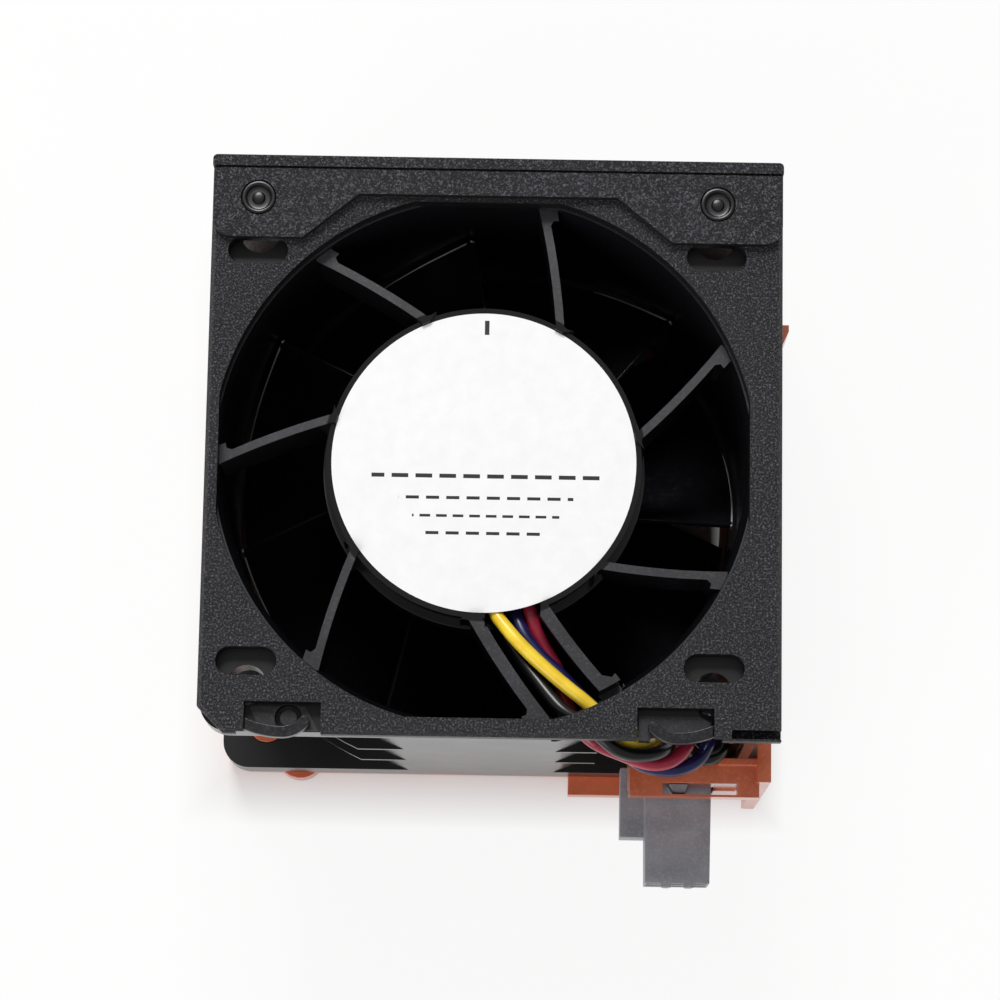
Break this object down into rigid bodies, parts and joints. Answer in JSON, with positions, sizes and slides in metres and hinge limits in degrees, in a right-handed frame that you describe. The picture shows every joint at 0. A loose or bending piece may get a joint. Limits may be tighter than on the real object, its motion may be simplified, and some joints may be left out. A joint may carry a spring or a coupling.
{
  "type": "server fan module",
  "caption": "Hot-swap axial fan module for a server: bladed rotor behind curved struts, carrier plate, top cover, sprung side latch, spring fingers and a wired plug.",
  "frame": {"origin": "on the rotor axis, in the plane of the intake-side latch frame's outer face", "axes": "+Z out of the exhaust side along the rotor axis, +Y towards the top cover, +X towards the release latch"},
  "size_m": [0.0645, 0.0774, 0.045],
  "materials": {
    "textured_plastic": "fine moulded grain, charcoal",
    "terracotta_plastic": "plain moulded satin, terracotta",
    "blade_plastic": "plain moulded satin, black",
    "label_film": "white satin film",
    "board_laminate": "green solder mask",
    "chip_epoxy": "black moulded epoxy",
    "capacitor_can": "drawn can",
    "resistor_ceramic": "fired ceramic",
    "lamination_steel": "stamped laminations",
    "insulator_nylon": "natural nylon",
    "winding_copper": "enamelled copper wire",
    "bearing_steel": "ground and polished",
    "turned_brass": "turned",
    "drawn_steel": "deep drawn, zinc plated",
    "ferrite": "bonded ferrite",
    "ground_steel": "ground shaft",
    "spring_steel": "tempered strip",
    "rivet_plastic": "moulded push rivets, charcoal",
    "connector_nylon": "moulded nylon, mid grey",
    "tinned_contact": "stamped and tin plated",
    "wire_black": "extruded insulation, black",
    "wire_yellow": "extruded insulation, yellow",
    "wire_red": "extruded insulation, red",
    "wire_blue": "extruded insulation, dark blue"
  },
  "bodies": {
    "housing": {"fan_frame": "textured_plastic", "rating_label": "label_film", "circuit_board": "board_laminate", "driver_chip": "chip_epoxy", "hall_sensor": "chip_epoxy", "filter_capacitor": "capacitor_can", "chip_resistors": "resistor_ceramic", "stator_core": "lamination_steel", "stator_insulators": "insulator_nylon", "stator_windings": "winding_copper", "bearing_outer_rings": "bearing_steel", "bearing_balls": "bearing_steel", "exhaust_plate": "textured_plastic", "top_cover": "textured_plastic", "cover_rivets": "rivet_plastic", "latch_frame": "terracotta_plastic", "connector_housing": "connector_nylon", "contact_terminals": "tinned_contact", "lead_black": "wire_black", "lead_yellow": "wire_yellow", "lead_red": "wire_red", "lead_blue": "wire_blue"},
    "rotor": {"impeller": "blade_plastic", "hub_bushing": "turned_brass", "rotor_yoke": "drawn_steel", "magnet_ring": "ferrite", "shaft": "ground_steel", "retaining_clip": "spring_steel", "preload_spring": "spring_steel", "bearing_inner_rings": "bearing_steel"},
    "latch": {"release_latch": "terracotta_plastic"},
    "left_finger": {"left_spring_finger": "textured_plastic"},
    "right_finger": {"right_spring_finger": "textured_plastic"}
  },
  "joints": [
    {"name": "rotor_spin", "type": "hinge", "parent": "housing", "child": "rotor", "pos_m": [0, 0, 0], "axis": [0, 0, 1], "continuous": true},
    {"name": "latch_squeeze", "type": "hinge", "parent": "housing", "child": "latch", "pos_m": [0.0311, 0.0024, 0], "axis": [0, 0, 1], "range_deg": [-0.5, 6.5], "stiffness_Nm_per_rad": 0.5},
    {"name": "left_finger_flex", "type": "hinge", "parent": "housing", "child": "left_finger", "pos_m": [-0.026, -0.02892, 0], "axis": [0, 0, 1], "range_deg": [-2.5, 2.5], "stiffness_Nm_per_rad": 0.1},
    {"name": "right_finger_flex", "type": "hinge", "parent": "housing", "child": "right_finger", "pos_m": [0.026, -0.02892, 0], "axis": [0, 0, 1], "range_deg": [-2.5, 2.5], "stiffness_Nm_per_rad": 0.1}
  ]
}
